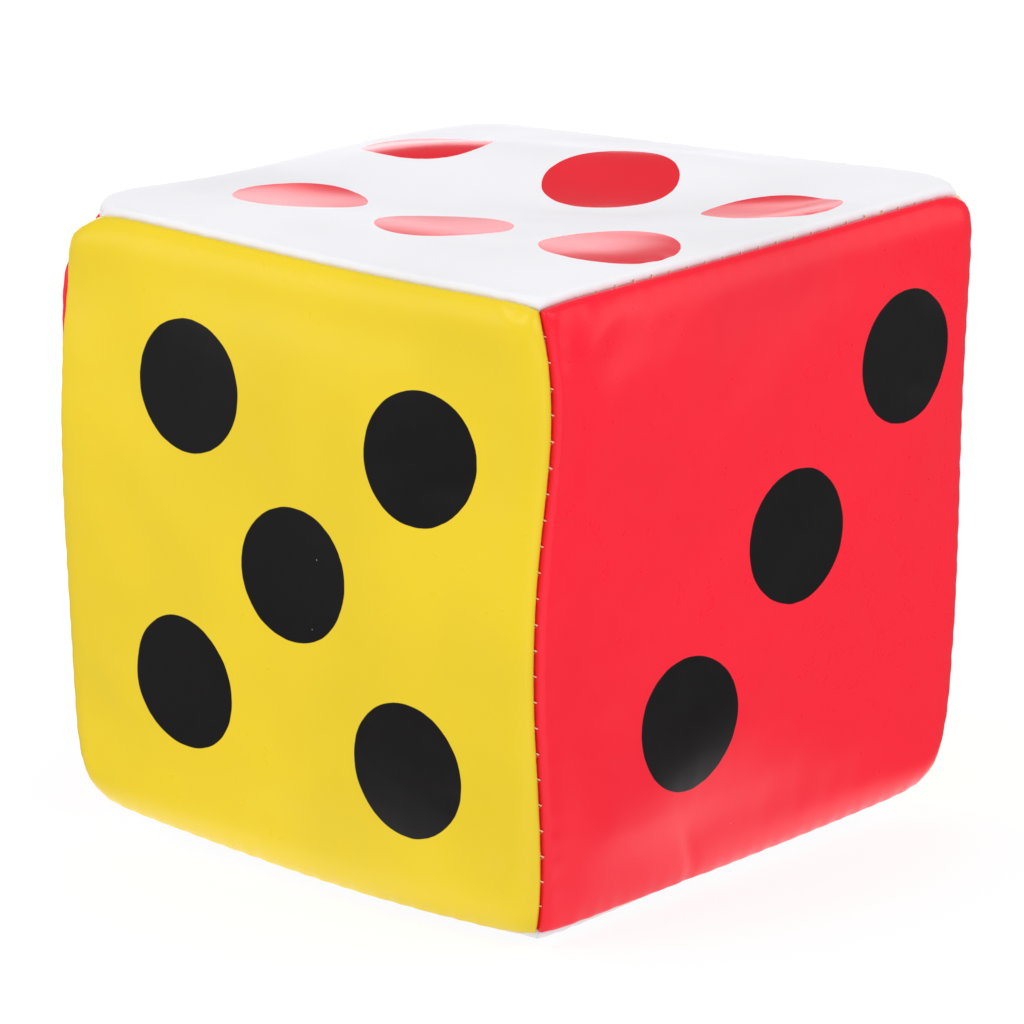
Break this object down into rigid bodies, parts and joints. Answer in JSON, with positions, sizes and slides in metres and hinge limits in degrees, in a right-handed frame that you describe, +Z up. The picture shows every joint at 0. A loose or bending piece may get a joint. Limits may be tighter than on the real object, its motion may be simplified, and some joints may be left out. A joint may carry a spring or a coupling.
{
  "type": "soft foam dice",
  "caption": "Large soft cube dice: a foam block in a sewn vinyl cover with yellow, red and white faces and round printed pips.",
  "frame": {"origin": "middle of the underside, where the dice rests on the ground", "axes": "+Z up; the edges run along X, Y and Z; the yellow five faces -Y, the red three faces +X and the white six faces +Z"},
  "size_m": [0.2, 0.2, 0.2],
  "materials": {
    "vinyl_yellow": "satin",
    "vinyl_red": "satin",
    "vinyl_white": "satin",
    "foam": "matte",
    "thread": "matte"
  },
  "bodies": {
    "root": {"foam_core": "foam", "front_panel": "vinyl_yellow", "back_panel": "vinyl_yellow", "left_panel": "vinyl_red", "right_panel": "vinyl_red", "top_panel": "vinyl_white", "bottom_panel": "vinyl_white", "seam_thread_top_front": "thread", "seam_thread_top_back": "thread", "seam_thread_top_left": "thread", "seam_thread_top_right": "thread", "seam_thread_bottom_front": "thread", "seam_thread_bottom_back": "thread", "seam_thread_bottom_left": "thread", "seam_thread_bottom_right": "thread", "seam_thread_left_front": "thread", "seam_thread_left_back": "thread", "seam_thread_right_front": "thread", "seam_thread_right_back": "thread"}
  },
  "joints": []
}
